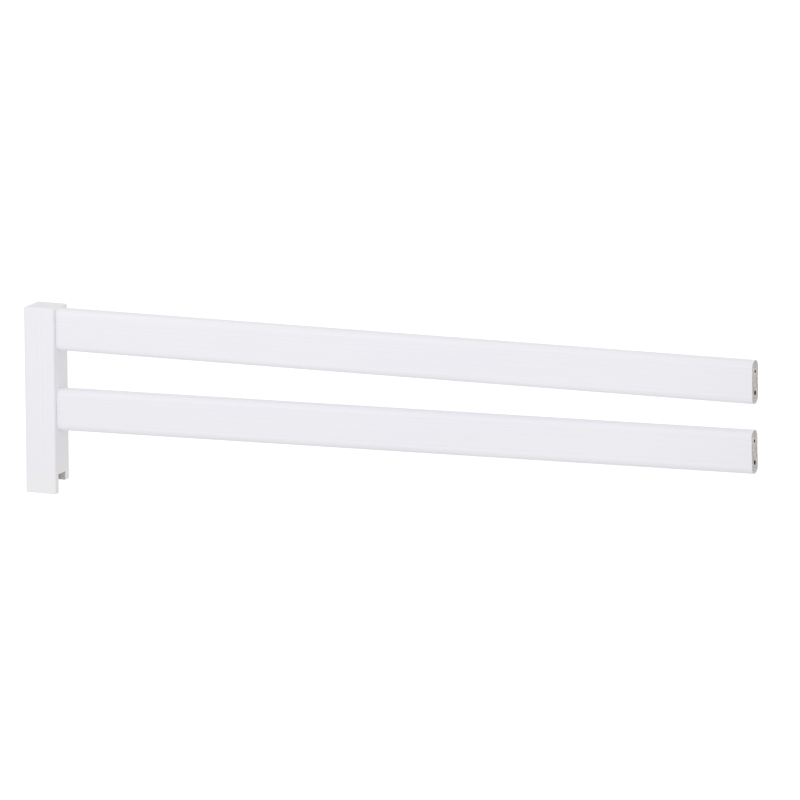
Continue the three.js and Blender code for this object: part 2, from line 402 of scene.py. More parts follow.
@dataclass(frozen=True)
class SawnEnd(Finish):
    """Softwood sawn across the grain and caught by a mist of lacquer only.

    To the eye it is a dull grey with a breath of brown, streaked by the saw and mottled where the open grain
    A bore has a narrow near-black rim, painted shade of its dark mouth, and round it a paler one where the bit
    tore the fibres.
    """

    title = "sawn softwood misted with lacquer"
    wood: Softwood
    # Each bore with its height over the piece's middle line
    bores: Sequence[tuple[float, Bore]] = ()
    # Degrees that the saw's streaks are turned about the piece's length
    turn: float = 0.0
    colour: str = "#EEEBEC"
    open_colour: str = "#A9A3A2"
    open_edges: tuple[float, float] = (0.82, 1.2)
    late_wood_colour: str = "#C3BBB7"
    late_wood_edges: tuple[float, float] = (0.55, 1.0)
    late_wood_cover: float = 0.6
    rim_colour: str = "#EFEDEC"
    rim_cover: float = 0.8
    rim_width: float = 3.5
    rim_overlap: float = 2.0
    rim_fray: float = 4.0
    # Painted shade: a near-black band round each bore's mouth stands in for the bore's dark opening
    mouth_shade_colour: str = "#1A1310"
    mouth_shade_cover: float = 0.95
    mouth_shade_overlap: float = 0.1
    mouth_shade_fray: float = 0.6
    roughness: float = 0.85
    # A saw scores the wood every 0.7 mm or so, drawn at 5 mm so that the streaks show at 1.6 mm to a pixel
    saw_marks: tuple[float, float, float] = (5.0, 5.0, 50 / 3)
    # Open pores are well under 0.1 mm, drawn at 3.5 mm as the mottling that they add up to in the render
    pore_size: float = 3.5
    relief: float = 0.12

    def mix(self) -> None:
        """Mixes the sawn surface."""
        rings = self.wood.rings(self)
        turn = (math.radians(self.turn), 0.0, 0.0)
        scale = [1 / size for size in self.saw_marks]
        across = self.add("Mapping", {"Vector": self.own, "Rotation": turn, "Scale": scale})[0]
        saw = {"Vector": across, "Scale": 1.0, "Detail": 4.0, "Roughness": 0.7}
        streaks = self.add("TexNoise", saw)[0]
        open_grain = {"Vector": self.own, "Scale": 1 / self.pore_size, "Detail": 4.0, "Roughness": 0.75}
        pores = self.add("TexNoise", open_grain)[0]
        both = self.add("Math", [streaks, pores], operation="ADD")[0]
        drunk = self.add("MapRange", [both, *self.open_edges])[0]
        late = self.add("MapRange", [rings, *self.late_wood_edges, 0.0, self.late_wood_cover])[0]
        coats = [(drunk, self.open_colour), (late, self.late_wood_colour)]
        for height, bore in self.bores:
            flat = {"Vector": self.own, "Location": (0.0, 0.0, -height), "Scale": (0.0, 1.0, 1.0)}
            about_bore = self.add("Mapping", flat)[0]
            reach = self.add("VectorMath", [about_bore], operation="LENGTH")["Value"]
            # A pale rim of torn fibre, then a near-black band of painted shade at the bore's mouth
            bands = (
                (self.rim_colour, self.rim_cover, self.rim_fray, self.rim_overlap, self.rim_width),
                (self.mouth_shade_colour, self.mouth_shade_cover, self.mouth_shade_fray, self.mouth_shade_overlap, bore.mouth_shade),
            )
            for colour, cover, fray, overlap, width in bands:
                frayed = self.add("Math", [pores, -fray, reach], operation="MULTIPLY_ADD")[0]
                start = bore.radius - overlap
                fade = [frayed, start, start + width, cover, 0.0]
                coats.append((self.add("MapRange", fade, interpolation_type="SMOOTHSTEP")[0], colour))
        self.close(coats, (both, self.relief), Roughness=self.roughness, IOR=1.5)


@dataclass(frozen=True)
class BoredWood(Finish):
    """The wall of a bore in softwood, never lacquered, and near black as painted shade of the deep bore.

    To the eye it is a near black brown, the bore's shade painted in, with slightly paler threads of torn fibre.
    """

    # The material's near black is painted shade of the deep, narrow bore
    title = "shade_painted bore in softwood"
    # Near black: painted shade of the bore's depth
    colour: str = "#0E0A08"
    torn_colour: str = "#2C2019"
    roughness: float = 0.9
    # A bit leaves a spiral of about 0.5 mm, drawn at 1.2 mm to show in a close view
    spiral_pitch: float = 1.2
    relief: float = 0.05

    def mix(self) -> None:
        """Mixes the bore's wall."""
        scale = 1 / self.spiral_pitch / WAVE_BANDS
        wave = {"Vector": self.own, "Scale": scale, "Distortion": 2.0, "Detail": 3.0}
        spiral = self.add("TexWave", wave, bands_direction="X")["Fac"]
        self.close([(spiral, self.torn_colour)], (spiral, self.relief), Roughness=self.roughness)


# What joins the timber


@dataclass(frozen=True)
class PressedBeech(Finish):
    """Bare beech, turned and pressed into a fluted dowel.

    To the eye it is a pinkish tan with short darker flecks along the dowel.
    """

    title = "pressed beech"
    colour: str = "#DDBE94"
    fleck_colour: str = "#B98F62"
    fleck_size: tuple[float, float] = (3.0, 0.35)
    fleck_edges: tuple[float, float] = (0.55, 0.7)
    roughness: float = 0.65
    relief: float = 0.03

    def mix(self) -> None:
        """Mixes the beech."""
        flecks = self.streaks(self.fleck_size)
        fleck = self.add("MapRange", [flecks, *self.fleck_edges])[0]
        self.close([(fleck, self.fleck_colour)], (flecks, self.relief), Roughness=self.roughness)


@dataclass(frozen=True)
class BrightZinc(Finish):
    """Steel with bright zinc plate, rolled and then plated.

    To the eye it is a cool silver, a little cloudy, with soft highlights.
    """

    title = "bright zinc plate"
    colour: str = "#C4C8CE"
    cloud_colour: str = "#AEB4BC"
    cloud_size: float = 3.0
    roughness: tuple[float, float] = (0.25, 0.42)

    def mix(self) -> None:
        """Mixes the plate."""
        clouds = self.add("TexNoise", {"Vector": self.own, "Scale": 1 / self.cloud_size, "Detail": 5.0})[0]
        roughness = self.add("MapRange", [clouds, 0.0, 1.0, *self.roughness])[0]
        self.close([(clouds, self.cloud_colour)], Roughness=roughness, Metallic=1.0)


@dataclass(frozen=True)
class MouldedPolyethylene(Finish):
    """White polyethylene, moulded in a spark-eroded tool.

    To the eye it is a warmer and duller white than the lacquer, with a fine matt grain.
    """

    title = "moulded polyethylene"
    colour: str = "#F1F0EE"
    dull_colour: str = "#E9E7E4"
    roughness: float = 0.48
    # The tool's grain is about 0.1 mm, drawn at 0.6 mm so that a close view shows it
    grain_size: float = 0.6
    relief: float = 0.02

    def mix(self) -> None:
        """Mixes the plastic."""
        grain = self.add("TexNoise", {"Vector": self.own, "Scale": 1 / self.grain_size, "Detail": 2.0})[0]
        coats = [(grain, self.dull_colour)]
        self.close(coats, (grain, self.relief), Roughness=self.roughness, IOR=1.51)


# Work on a mesh


def only(kind: type, items: Iterable[Any]) -> list[Any]:
    """Picks the items of one kind."""
    return [item for item in items if isinstance(item, kind)]


@dataclass
class Workpiece:
    """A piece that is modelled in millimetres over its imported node, which it then stands for."""

    node: str

    def __post_init__(self) -> None:
        """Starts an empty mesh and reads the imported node's box."""
        self.bm = bmesh.new()
        self.low, self.high = (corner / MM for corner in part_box(self.node))

    def build(self) -> None:
        """Models the piece, dresses it and lets it stand for its node."""
        bm = self.bm
        self.model()
        self.weld()
        bmesh.ops.scale(bm, verts=bm.verts[:], vec=(MM, MM, MM))
        open_edges = sum(1 for edge in bm.edges if not edge.is_manifold)
        name = f"{self.making}_{self.node}"
        mesh = bpy.data.meshes.new(name)
        bm.to_mesh(mesh)
        bm.free()
        mesh.shade_smooth()
        mesh.set_sharp_from_angle(angle=CRISP_ANGLE)
        for material in self.materials():
            mesh.materials.append(material)
        piece = bpy.data.objects.new(name, mesh)
        bpy.context.scene.collection.objects.link(piece)
        weighted = piece.modifiers.new("even shading", "WEIGHTED_NORMAL")
        weighted.keep_sharp = True
        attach(piece, BODY)
        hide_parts(self.node)
        faces = len(mesh.polygons)
        log.info("%s: %d faces, %d open edges, stands for %s", name, faces, open_edges, self.node)

    def model(self) -> None:
        """Models the piece, which each kind of piece does in its own way."""
        raise NotImplementedError

    def materials(self) -> list[Material]:
        """Makes the piece's materials by slot number, which differ with the kind of piece."""
        raise NotImplementedError

    def weld(self) -> None:
        """Merges doubled vertices and turns every face outwards."""
        bmesh.ops.remove_doubles(self.bm, verts=self.bm.verts[:], dist=WELD)
        bmesh.ops.recalc_face_normals(self.bm, faces=self.bm.faces[:])

    def bevel(self, edges: Iterable[BMEdge], offset: float, segments: int) -> None:
        """Rounds edges.

        Args:
            edges: The edges.
            offset: How far from each edge its round starts.
            segments: The number of steps across the round.
        """
        bmesh.ops.bevel(
            self.bm,
            geom=list(edges),
            offset=offset,
            affect="EDGES",
            segments=segments,
            profile=0.5,
            material=-1,
            clamp_overlap=True,
        )

    def face_at(self, along: float) -> BMFace:
        """Finds the largest face that lies square to the X axis at one place.

        Args:
            along: The place on the X axis.

        Returns:
            The face.
        """
        self.bm.normal_update()
        square = [face for face in self.bm.faces if abs(face.normal.x) > SQUARE]
        there = [face for face in square if abs(face.calc_center_median().x - along) < NEAR]
        return max(there, key=lambda face: face.calc_area())

    def ring(self, along: float, axis: Vector, radius: float) -> list[BMEdge]:
        """Adds a bare circle square to the X axis.

        Args:
            along: The circle's place on the X axis.
            axis: Any point of the line that it lies about.
            radius: Its radius.

        Returns:
            The circle's edges.
        """
        upright = Matrix.Translation((along, *axis.yz)) @ Matrix.Rotation(math.pi / 2, 4, "Y")
        made = bmesh.ops.create_circle(self.bm, radius=radius, segments=BORE_SIDES, matrix=upright)
        return list(dict.fromkeys(edge for vert in made["verts"] for edge in vert.link_edges))

    def fill_around(self, face: BMFace, rings: Iterable[Sequence[BMEdge]]) -> None:
        """Refills a flat face around rings that lie in it.

        Args:
            face: The face that is opened.
            rings: The edges of each ring.
        """
        number = face.material_index
        edges = list(face.edges) + [edge for loop in rings for edge in loop]
        bmesh.ops.delete(self.bm, geom=[face], context="FACES_ONLY")
        filled = bmesh.ops.triangle_fill(self.bm, use_beauty=True, edges=edges)
        for new in only(BMFace, filled["geom"]):
            new.material_index = number

    def sink(
        self,
        edges: Sequence[BMEdge],
        axis: Vector,
        steps: Sequence[tuple[float, float]],
        surface: Surface = Surface.BORED,
    ) -> list[BMEdge]:
        """Draws a ring along the X axis into a stepped wall.

        Args:
            edges: The ring's edges.
            axis: Any point of the line that the wall lies about.
            steps: Place along X and radius of each step. A radius of zero closes the wall in a point.
            surface: The surface of the new wall.

        Returns:
            The edges of the last ring, or none if the wall is closed.
        """
        loop = list(edges)
        for along, radius in steps:
            grown = bmesh.ops.extrude_edge_only(self.bm, edges=loop)["geom"]
            verts = only(BMVert, grown)
            loop = [edge for edge in only(BMEdge, grown) if {*edge.verts} <= {*verts}]
            for face in only(BMFace, grown):
                face.material_index = surface.value
            middle = Vector((along, *axis.yz))
            if radius == 0.0:
                bmesh.ops.pointmerge(self.bm, verts=verts, merge_co=middle)
                return []
            factor = radius / (verts[0].co - axis).yz.length
            space = Matrix.Translation(-middle)
            bmesh.ops.translate(self.bm, verts=verts, vec=(along - verts[0].co.x, 0.0, 0.0))
            bmesh.ops.scale(self.bm, verts=verts, vec=(1.0, factor, factor), space=space)
        return loop

    def spin(self, profile: Sequence[tuple[float, float]], steps: int) -> None:
        """Spins a profile about the X axis into a closed solid.

        Args:
            profile: Place along X and radius of each point, from axis to axis.
            steps: The number of steps round.
        """
        verts = [self.bm.verts.new((along, 0.0, radius)) for along, radius in profile]
        edges = [self.bm.edges.new(pair) for pair in zip(verts, verts[1:])]
        bmesh.ops.spin(self.bm, geom=[*verts, *edges], **ABOUT_X, angle=math.tau, steps=steps, use_merge=True)
        self.weld()


@dataclass(frozen=True)
class Joint:
    """A rail's joint with the post: a dowel below the rail's middle and a screw above it."""

    # Where the post's side lies on the X axis
    face: float
    # Where the axis of each one passes X zero
    dowel: Vector
    screw: Vector
    clearance: float = 0.3

    @classmethod
    def read(cls, level: Level) -> Joint:
        """Reads a joint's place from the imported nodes.

        Args:
            level: The rail that it holds.

        Returns:
            The joint.
        """
        axes = []
        for piece in ("dowel", "screw"):
            low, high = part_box(f"{level.value}_{piece}")
            axes.append(Vector((0.0, *(low + high).yz / 2 / MM)))
        _, post_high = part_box("post")
        return cls(post_high.x / MM, *axes)


# Post and rails


@dataclass
class Post(Workpiece):
    """The square post, whose foot straddles the bed's side board."""

    making = "lacquered"
    slot = Slot.PAINTED_WOOD
    joints: Sequence[Joint]
    groove_width: float = 24.0
    front_cheek: float = 11.0
    rear_cheek_length: float = 13.5
    edge_radius: float = 3.0
    foot_radius: float = 1.5
    arris: float = 0.4
    # A face with this share of its normal along X belongs to the post's side
    side_share: float = 0.5
    dowel_bore: Bore = Bore(3.3, 21.0)
    screw_bore: Bore = Bore(2.3)
    head_bore: Bore = Bore(4.3, 5.5)
    head_cone_length: float = 2.0
    rim: float = 0.25
    wood: Softwood = Softwood(pith=(-46.0, 31.0), ring_spacing=3.1)

    def model(self) -> None:
        """Shapes the post, marks its sawn saddle and bores it."""
        self.groove_front = self.low.y + self.front_cheek
        self.groove_back = self.groove_front + self.groove_width
        self.cut_outline()
        self.round_edges()
        self.mark_saddle()
        self.bore()

    def materials(self) -> list[Material]:
        """Makes the lacquer, the saddle's sawn surface, greyed partly as painted shade of the groove, and the
        bores' walls, darkened as painted shade.

        Returns:
            The materials by slot number.
        """
        middle = (self.low.y + self.high.y) / 2
        place = Place(Vector((0.0, middle, self.low.z)), 90.0)
        groove_middle = (self.groove_front + self.groove_back) / 2 - middle
        groove = Groove(floor=-self.low.z, middle=groove_middle, half_width=self.groove_width / 2)
        # The saddle's sawn walls are greyer than the rails' sawn ends: partly sawn wood, partly painted shade
        # of the deep groove
        saddle = {"colour": "#DDDBDD", "open_colour": "#ACAAAB", "late_wood_colour": "#B7B3B2"}
        return [
            SatinLacquer(self.wood, groove, self.high.z - self.low.z).material(place, "post"),
            SawnEnd(self.wood, turn=90.0, **saddle).material(place, "saddle"),
            BoredWood().material(place, "post"),
        ]

    def cut_outline(self) -> None:
        """Draws the side outline with its saddle and gives it the post's width."""
        low, high = self.low, self.high
        corners = [
            (low.y, low.z),
            (self.groove_front, low.z),
            (self.groove_front, 0.0),
            (self.groove_back, 0.0),
            (self.groove_back, -self.rear_cheek_length),
            (high.y, -self.rear_cheek_length),
            (high.y, high.z),
            (low.y, high.z),
        ]
        side = self.bm.faces.new([self.bm.verts.new((low.x, y, z)) for y, z in corners])
        far = only(BMVert, bmesh.ops.extrude_face_region(self.bm, geom=[side])["geom"])
        bmesh.ops.translate(self.bm, verts=far, vec=(high.x - low.x, 0.0, 0.0))
        self.weld()

    def round_edges(self) -> None:
        """Rounds the upright corners, the top and the feet, and breaks every other edge."""
        wide = []
        for edge in self.bm.edges:
            first, second = (vert.co for vert in edge.verts)
            outer = min(abs(first.y - self.low.y), abs(first.y - self.high.y)) < NEAR
            upright = outer and (first - second).xy.length < NEAR
            if upright or min(first.z, second.z) > self.high.z - NEAR:
                wide.append(edge)
        self.bevel(wide, self.edge_radius, segments=8)
        for height in (self.low.z, -self.rear_cheek_length):
            foot = [edge for edge in self.bm.edges if all(abs(v.co.z - height) < NEAR for v in edge.verts)]
            self.bevel(foot, self.foot_radius, segments=5)
        self.bm.normal_update()
        sharp = [edge for edge in self.bm.edges if edge.calc_face_angle(0.0) > CRISP_ANGLE]
        self.bevel(sharp, self.arris, segments=2)

    def mark_saddle(self) -> None:
        """Gives the groove's own walls their sawn surface, with the inner half of each broken edge."""
        self.bm.normal_update()
        broken = self.arris / 2
        for face in self.bm.faces:
            centre = face.calc_center_median()
            across = self.groove_front - broken < centre.y < self.groove_back + broken
            if across and centre.z < broken and abs(face.normal.x) < self.side_share:
                face.material_index = Surface.SAWN.value

    def bore(self) -> None:
        """Opens the dowels' bores and the screws' stepped holes."""
        low, high, rim = self.low.x, self.high.x, self.rim
        dowel, screw, head = self.dowel_bore, self.screw_bore, self.head_bore
        dowels = [self.ring(high, joint.dowel, dowel.radius + rim) for joint in self.joints]
        screws = [self.ring(high, joint.screw, screw.radius + rim) for joint in self.joints]
        heads = [self.ring(low, joint.screw, head.radius + rim) for joint in self.joints]
        self.fill_around(self.face_at(high), [*dowels, *screws])
        self.fill_around(self.face_at(low), heads)
        bottom = high - dowel.depth
        dowel_steps = [(high - rim, dowel.radius), (bottom, dowel.radius), (bottom, 0.0)]
        cone = low + head.depth
        head_steps = [(low + rim, head.radius), (cone, head.radius)]
        head_steps.append((cone + self.head_cone_length, screw.radius))
        for joint, dowel_ring, screw_ring, head_ring in zip(self.joints, dowels, screws, heads):
            self.sink(dowel_ring, joint.dowel, dowel_steps)
            inner = self.sink(head_ring, joint.screw, head_steps)
            mouth = self.sink(screw_ring, joint.screw, [(high - rim, screw.radius)])
            for face in bmesh.ops.bridge_loops(self.bm, edges=[*inner, *mouth])["faces"]:
                face.material_index = Surface.BORED.value


@dataclass
class Rail(Workpiece):
    """A rail with full round edges, an eased post end and a square free end with two bores."""

    making = "lacquered"
    slot = Slot.PAINTED_WOOD
    joint: Joint
    rise: float = 0.0
    length: float = 1128.5
    height: float = 65.0
    thickness: float = 25.0
    edge_radius: float = 10.0
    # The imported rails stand 0.3 mm off the post, and the real ones are drawn up tight
    post_gap: float = 0.05
    end_ease: float = 0.5
    ease_steps: int = 6
    arris: float = 0.5
    # Each bore's third number is how wide the painted shade round its mouth is on the free end
    screw_bore: Bore = Bore(2.3, 40.0, 0.7)
    dowel_bore: Bore = Bore(3.3, 25.0, 1.15)
    joint_dowel_depth: float = 21.25
    joint_screw_depth: float = 35.7
    rim: float = 0.3
    # A drill's point is this share of the bore's radius deep
    point_share: float = 0.6
    wood: Softwood = Softwood()

    def model(self) -> None:
        """Planes and drills the rail along the X axis, lays it in its place and fits it to the post."""
        dowel, screw = self.joint.dowel, self.joint.screw
        middle = (dowel + screw) / 2
        self.place = Place(Vector((self.joint.face, *middle.yz)), self.rise)
        self.free_bores = ((screw.z - middle.z, self.screw_bore), (dowel.z - middle.z, self.dowel_bore))
        self.plane_bar()
        end = self.length
        shown = [(Vector((0.0, 0.0, z)), bore.radius, end - bore.depth) for z, bore in self.free_bores]
        self.drill(end, shown, self.rim)
        bmesh.ops.transform(self.bm, matrix=self.place.matrix(), verts=self.bm.verts[:])
        start = self.joint.face + self.post_gap
        self.cut_post_end(start)
        hidden = [
            (dowel, self.dowel_bore.radius, start + self.joint_dowel_depth),
            (screw, self.screw_bore.radius, start + self.joint_screw_depth),
        ]
        self.drill(start, hidden)

    def materials(self) -> list[Material]:
        """Makes the lacquer, the sawn end and the bores' walls, by slot number."""
        finishes = (SatinLacquer(self.wood), SawnEnd(self.wood, self.free_bores), BoredWood())
        return [finish.material(self.place, self.node.replace("_", " ")) for finish in finishes]

    def plane_bar(self) -> None:
        """Makes the bar with its long edges rounded and the arris of its free end broken."""
        overrun = self.height / 2
        size = Matrix.Diagonal((self.length + overrun, self.thickness, self.height, 1.0))
        middle = Matrix.Translation(((self.length - overrun) / 2, 0.0, 0.0))
        bmesh.ops.create_cube(self.bm, size=1.0, matrix=middle @ size)
        lengthwise = [edge for edge in self.bm.edges if edge.calc_length() > self.length]
        self.bevel(lengthwise, self.edge_radius, segments=12)
        end = self.face_at(self.length)
        end.material_index = Surface.SAWN.value
        self.bevel(end.edges, self.arris, segments=3)
        for face in self.bm.faces:
            if face.calc_center_median().x < self.length - NEAR:
                face.material_index = Surface.LACQUERED.value

    def drill(self, start: float, bores: Sequence[tuple[Vector, float, float]], rim: float = 0.0) -> None:
        """Drills pointed bores into one end.

        Args:
            start: The end's place on the X axis.
            bores: Any point of each bore's axis, its radius, and the place of its tip on the X axis.
            rim: How wide the bores' mouths are broken.
        """
        rings = [self.ring(start, axis, radius + rim) for axis, radius, _ in bores]
        self.fill_around(self.face_at(start), rings)
        for edges, (axis, radius, tip) in zip(rings, bores):
            if rim > 0.0:
                edges = self.sink(edges, axis, [(start - rim, radius)], Surface.SAWN)
            point = math.copysign(self.point_share * radius, start - tip)
            self.sink(edges, axis, [(tip + point, radius), (tip, 0.0)])

    def cut_post_end(self, start: float) -> None:
        """Cuts the end at the post upright and eases its front and back edges.

        Args:
            start: The end's place on the X axis.
        """
        cuts = [(Vector((start, 0.0, 0.0)), Vector((-1.0, 0.0, 0.0)))]
        reach = self.end_ease * math.cos(math.pi / 4 / self.ease_steps)
        for way in (-1.0, 1.0):
            side = self.place.start.y + way * (self.thickness / 2 - self.end_ease)
            for i in range(self.ease_steps):
                angle = math.pi / 2 * (i + 0.5) / self.ease_steps
                outward = Vector((-math.cos(angle), way * math.sin(angle), 0.0))
                cuts.append((Vector((start + self.end_ease, side, 0.0)) + outward * reach, outward))
        bm = self.bm
        for point, outward in cuts:
            geom = [*bm.verts, *bm.edges, *bm.faces]
            plane = {"plane_co": point, "plane_no": outward, "clear_outer": True}
            cut = bmesh.ops.bisect_plane(bm, geom=geom, dist=ON_PLANE, **plane)
            for face in bmesh.ops.edgeloop_fill(bm, edges=only(BMEdge, cut["geom_cut"]))["faces"]:
                face.material_index = Surface.LACQUERED.value


# Caps, screws and dowels


@dataclass
class CoverCap(Workpiece):
    """A push-in cap over the screw's head: a low dome on a flange, and a barrel with holding rings."""

    making = "moulded"
    slot = Slot.WHITE_PLASTIC
    joint: Joint
    rim_thickness: float = 0.6
    rim_break: float = 0.15
    barrel_radius: float = 4.0
    barrel_lead: float = 0.2
    ring_start: float = 0.5
    ring_depth: float = 0.35
    ring_pitch: float = 0.9
    ring_rise: float = 0.2
    ring_land: float = 0.1
    hollow_radius: float = 2.6
    hollow_depth: float = 2.6
    hollow_draft: float = 0.2
    arc_steps: int = 14
    sides: int = 64

    def model(self) -> None:
        """Spins the cap and puts it over the screw."""
        self.spin(self.profile(), self.sides)
        bmesh.ops.translate(self.bm, verts=self.bm.verts[:], vec=self.joint.screw)

    def materials(self) -> list[Material]:
        """Makes the cap's plastic."""
        return [MouldedPolyethylene().material(Place(self.joint.screw))]

    def profile(self) -> list[tuple[float, float]]:
        """Draws the cap's outline from the top of its dome to the bottom of its hollow.

        Returns:
            Place along X and radius of each point.
        """
        top, barrel_end = self.low.x, self.high.x
        flange = (self.high.z - self.low.z) / 2
        seat = -self.joint.face - self.joint.clearance
        dome_height = seat - self.rim_thickness - top
        root = self.barrel_radius - self.ring_depth
        points = []
        for i in range(self.arc_steps + 1):
            angle = math.pi / 2 * i / self.arc_steps
            points.append((top + dome_height * (1 - math.cos(angle)), flange * math.sin(angle)))
        points += [(seat - self.rim_break, flange), (seat, flange - self.rim_break), (seat, root)]
        along = seat + self.ring_start
        while along + self.ring_pitch < barrel_end:
            points += [(along, root), (along + self.ring_rise, self.barrel_radius)]
            points.append((along + self.ring_pitch - self.ring_land, root))
            along += self.ring_pitch
        inner = barrel_end - self.hollow_depth
        points += [(barrel_end, root - self.barrel_lead), (barrel_end, self.hollow_radius)]
        return points + [(inner, self.hollow_radius - self.hollow_draft), (inner, 0.0)]


@dataclass
class WoodScrew(Workpiece):
    """A countersunk wood screw with a cross recess, a plain shank under the head and a rolled thread."""

    making = "threaded"
    slot = Slot.ZINC_PLATED_STEEL
    joint: Joint
    head_radius: float = 4.0
    head_rim: float = 0.5
    head_break: float = 0.15
    neck_radius: float = 2.0
    neck_length: float = 0.8
    shank_radius: float = 1.55
    shank_taper: float = 1.0
    core_radius: float = 1.3
    sides: int = 48
    thread_length: float = 46.0
    thread_pitch: float = 1.8
    thread_width: float = 0.7
    thread_root: float = 0.12
    crest_radius: float = 2.0
    steps_per_turn: int = 20
    # The share of its radius that the thread keeps at the tip, and half the share that it starts with
    tip_share: float = 0.12
    start_share: float = 0.3
    # Turns by which the thread ends before the tip
    bare_turns: float = 0.5
    tip_length: float = 5.0
    tip_radius: float = 0.25
    recess_span: float = 4.0
    recess_width: float = 1.0
    recess_depth: float = 1.5
    recess_floor_share: float = 0.6

    def model(self) -> None:
        """Turns the screw on the X axis, presses its recess, rolls its thread and puts it in its place."""
        self.turn_body()
        self.press_recess()
        self.roll_thread()
        bmesh.ops.translate(self.bm, verts=self.bm.verts[:], vec=self.joint.screw)

    def materials(self) -> list[Material]:
        """Makes the screw's plate."""
        return [BrightZinc().material(Place(self.joint.screw))]

    def turn_body(self) -> None:
        """Spins the head, the shank and the core."""
        start, end = self.low.x, self.high.x
        cone_end = start + self.head_rim + self.head_radius - self.neck_radius
        thread_start = end - self.thread_length
        profile = [
            (start, 0.0),
            (start, self.head_radius - self.head_break),
            (start + self.head_break, self.head_radius),
            (start + self.head_rim, self.head_radius),
            (cone_end, self.neck_radius),
            (cone_end + self.neck_length, self.shank_radius),
            (thread_start - self.shank_taper, self.shank_radius),
            (thread_start, self.core_radius),
            (end - self.tip_length, self.core_radius),
            (end, self.tip_radius),
            (end, 0.0),
        ]
        self.spin(profile, self.sides)

    def press_recess(self) -> None:
        """Presses the cross recess into the head."""
        bm = self.bm
        start = self.low.x
        fan = [face for face in bm.faces if all(abs(vert.co.x - start) < WELD for vert in face.verts)]
        bmesh.ops.dissolve_faces(bm, faces=fan)
        half, centre = self.recess_span / 2, self.recess_width / 2
        arm = ((half, -centre), (half, centre), (centre, centre))
        verts = []
        for quarter in range(4):
            turn = Matrix.Rotation(math.pi / 2 * quarter, 3, "X")
            verts += [bm.verts.new(turn @ Vector((start, *point))) for point in arm]
        cross = bm.faces.new(verts)
        self.fill_around(self.face_at(start), [cross.edges])
        floor = only(BMVert, bmesh.ops.extrude_face_region(bm, geom=[cross])["geom"])
        bmesh.ops.delete(bm, geom=[cross], context="FACES_ONLY")
        bmesh.ops.translate(bm, verts=floor, vec=(self.recess_depth, 0.0, 0.0))
        bmesh.ops.scale(bm, verts=floor, vec=(1.0, self.recess_floor_share, self.recess_floor_share))

    def roll_thread(self) -> None:
        """Winds a sharp ridge round the core, which runs out into the tip."""
        bm = self.bm
        end = self.high.x
        start = end - self.thread_length
        turns = self.thread_length / self.thread_pitch - self.bare_turns
        steps = round(turns * self.steps_per_turn)
        root = self.core_radius - self.thread_root
        section = [(0.0, root), (self.thread_width / 2, self.crest_radius), (self.thread_width, root)]
        before = set(bm.verts)
        verts = [bm.verts.new((start + along, 0.0, radius)) for along, radius in section]
        face = bm.faces.new(verts)
        bmesh.ops.spin(
            bm,
            geom=[*verts, *face.edges, face],
            **ABOUT_X,
            dvec=(self.thread_pitch / self.steps_per_turn, 0.0, 0.0),
            angle=math.tau * steps / self.steps_per_turn,
            steps=steps,
        )
        for vert in bm.verts:
            if vert not in before:
                left = max((end - vert.co.x) / self.tip_length, self.tip_share)
                begun = max((vert.co.x - start) / self.thread_pitch, self.start_share) + self.start_share
                vert.co.yz *= min(1.0, left, begun)


@dataclass
class FlutedDowel:
    """A fluted dowel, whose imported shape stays."""

    node: str
    joint: Joint

    def build(self) -> None:
        """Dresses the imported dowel."""
        material = PressedBeech().material(Place(self.joint.dowel))
        for slot in bpy.data.objects[self.node].material_slots:
            slot.material = material
        log.info("%s: packed shape, dressed in beech", self.node)


# Studio


@dataclass(frozen=True)
class Tent:
    """The white tent round the object: palest in front, dimmer at both sides, above and below.

    Its light is a little cool on the left and a little warm on the right.
    """

    base: float = 0.979
    slope: tuple[float, float, float] = (0.046, -0.0987, 0.1018)
    dimming: tuple[float, float, float] = (0.387, 0.0, 0.092)
    left_colour: str = "#FBFBFF"
    right_colour: str = "#FFFFFB"
    seen_strength: float = 1.05

    def build(self) -> None:
        """Makes the world."""
        world = bpy.data.worlds.new("white tent")
        bpy.context.scene.world = world
        world.use_nodes = True
        world.node_tree.nodes.clear()
        recipe = Recipe(tree=world.node_tree)
        way = recipe.add("TexCoord")["Generated"]
        squares = recipe.add("VectorMath", [way, way], operation="MULTIPLY")[0]
        slope, dimming = (
            recipe.add("VectorMath", [of, amount], operation="DOT_PRODUCT")["Value"]
            for of, amount in ((way, self.slope), (squares, self.dimming))
        )
        level = recipe.add("Math", [self.base, slope], operation="ADD")[0]
        strength = recipe.add("Math", [level, dimming], operation="SUBTRACT")[0]
        across = recipe.add("SeparateXYZ", [way])["X"]
        right = recipe.add("MapRange", [across, -1.0])[0]
        colours = {0: right, 6: linear(self.left_colour), 7: linear(self.right_colour)}
        colour = recipe.add("Mix", colours, data_type="RGBA")[2]
        tent = recipe.add("Background", {"Color": colour, "Strength": strength})[0]
        seen = recipe.add("Background", {"Color": linear(WHITE), "Strength": self.seen_strength})[0]
        rays = recipe.add("LightPath")["Is Camera Ray"]
        recipe.add("OutputWorld", {"Surface": recipe.add("MixShader", [rays, tent, seen])[0]})


